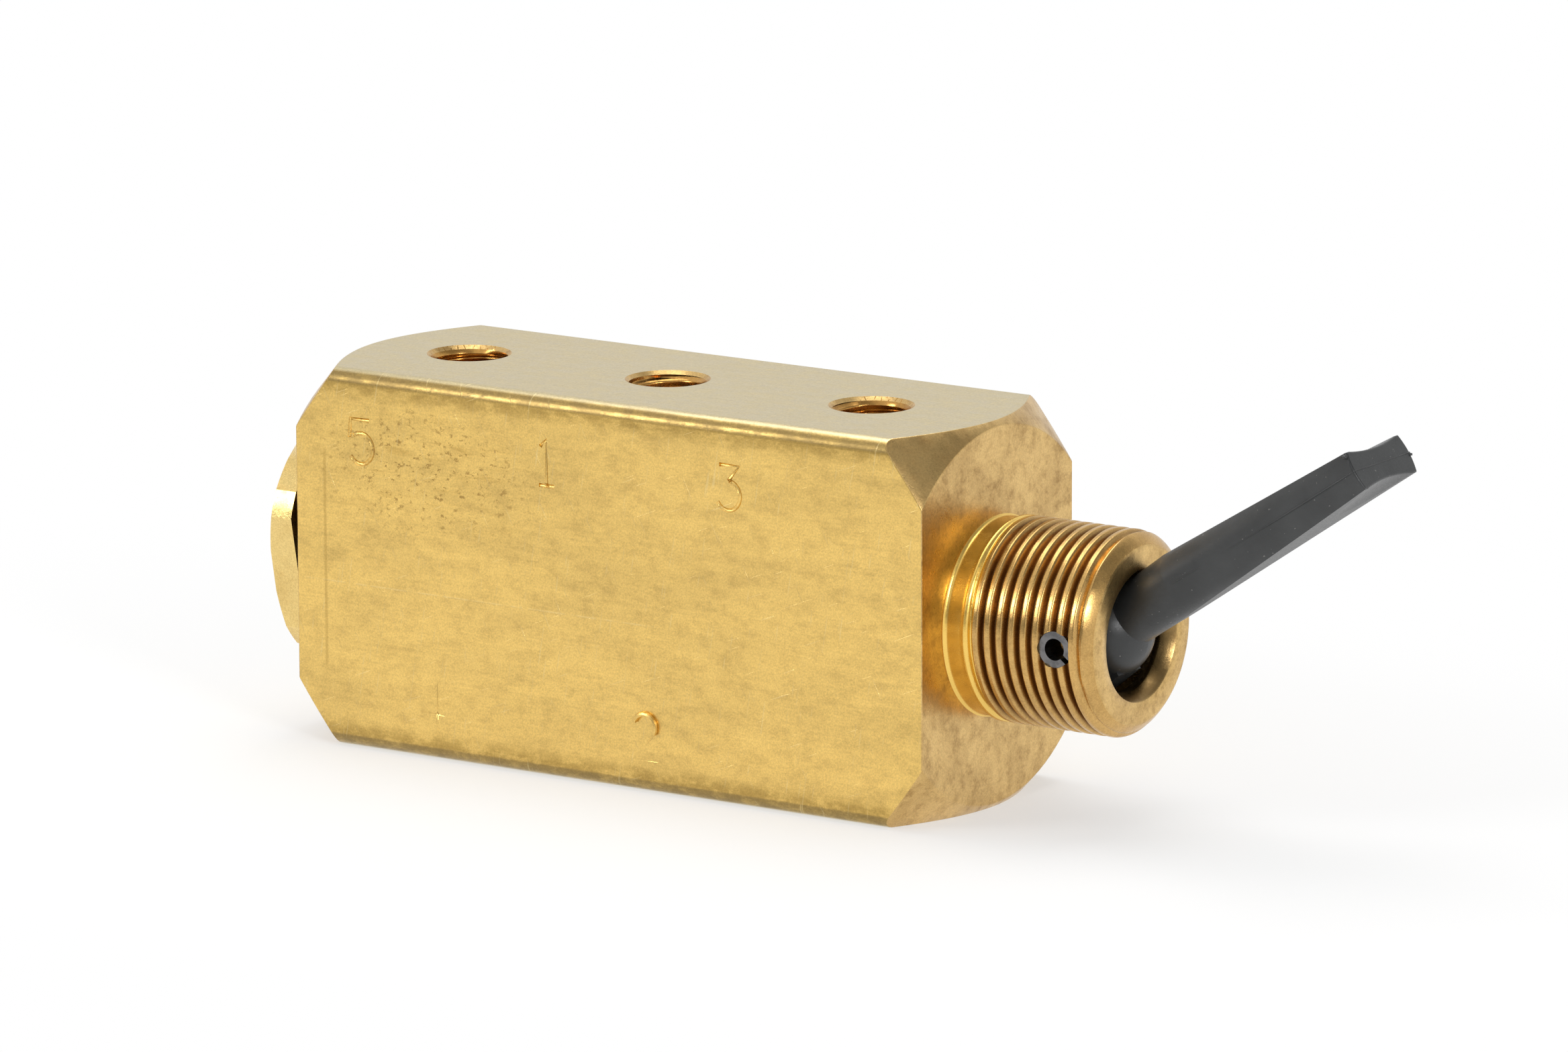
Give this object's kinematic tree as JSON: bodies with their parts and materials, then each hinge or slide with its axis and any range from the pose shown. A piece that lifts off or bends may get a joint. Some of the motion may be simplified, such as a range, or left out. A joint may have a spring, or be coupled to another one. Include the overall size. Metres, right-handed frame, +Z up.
{
  "type": "toggle valve",
  "caption": "Brass bar-bodied spool valve with a threaded mounting boss, tapped ports on its top and bottom and a moulded toggle lever.",
  "frame": {"origin": "on the bore axis in the plane of the body's front end face, which is the seat against a panel", "axes": "+X along the bore axis out of the boss towards the lever, +Z up through the faces with the ports, -Y the stamped face"},
  "size_m": [0.0709, 0.0162, 0.0238],
  "materials": {
    "body_brass": "satin",
    "plug_brass": "turned satin",
    "gasket_rubber": "matte",
    "cage_brass": "satin",
    "guide_brass": "satin",
    "seal_rubber": "matte",
    "spool_aluminium": "polished",
    "button_plastic": "matte",
    "spring_steel": "drawn wire",
    "lever_plastic": "moulded, slightly glossy",
    "pin_steel": "dark rolled steel"
  },
  "bodies": {
    "body": {"valve_body": "body_brass", "rear_plug": "plug_brass", "plug_gasket": "gasket_rubber", "port_cage_5": "cage_brass", "port_cage_4": "cage_brass", "port_cage_1": "cage_brass", "port_cage_2": "cage_brass", "port_cage_3": "cage_brass", "seal_ring_1": "seal_rubber", "seal_ring_2": "seal_rubber", "seal_ring_3": "seal_rubber", "seal_ring_4": "seal_rubber", "seal_ring_5": "seal_rubber", "seal_ring_6": "seal_rubber", "front_guide": "guide_brass", "return_spring": "spring_steel", "pivot_pin": "pin_steel"},
    "spool": {"spool": "spool_aluminium", "thrust_button": "button_plastic"},
    "lever": {"toggle_lever": "lever_plastic"}
  },
  "joints": [
    {"name": "lever_toggle", "type": "hinge", "parent": "body", "child": "lever", "pos_m": [0.00733, 0, 0], "axis": [0, 1, 0], "range_deg": [0, 66]},
    {"name": "spool_slide", "type": "slide", "parent": "body", "child": "spool", "axis": [1, 0, 0], "range_m": [-0.0016, 0], "deforming": ["return_spring"]}
  ],
  "couplings": [
    {"joint": "lever_toggle", "follows": "spool_slide", "rad_per_m": -722}
  ]
}
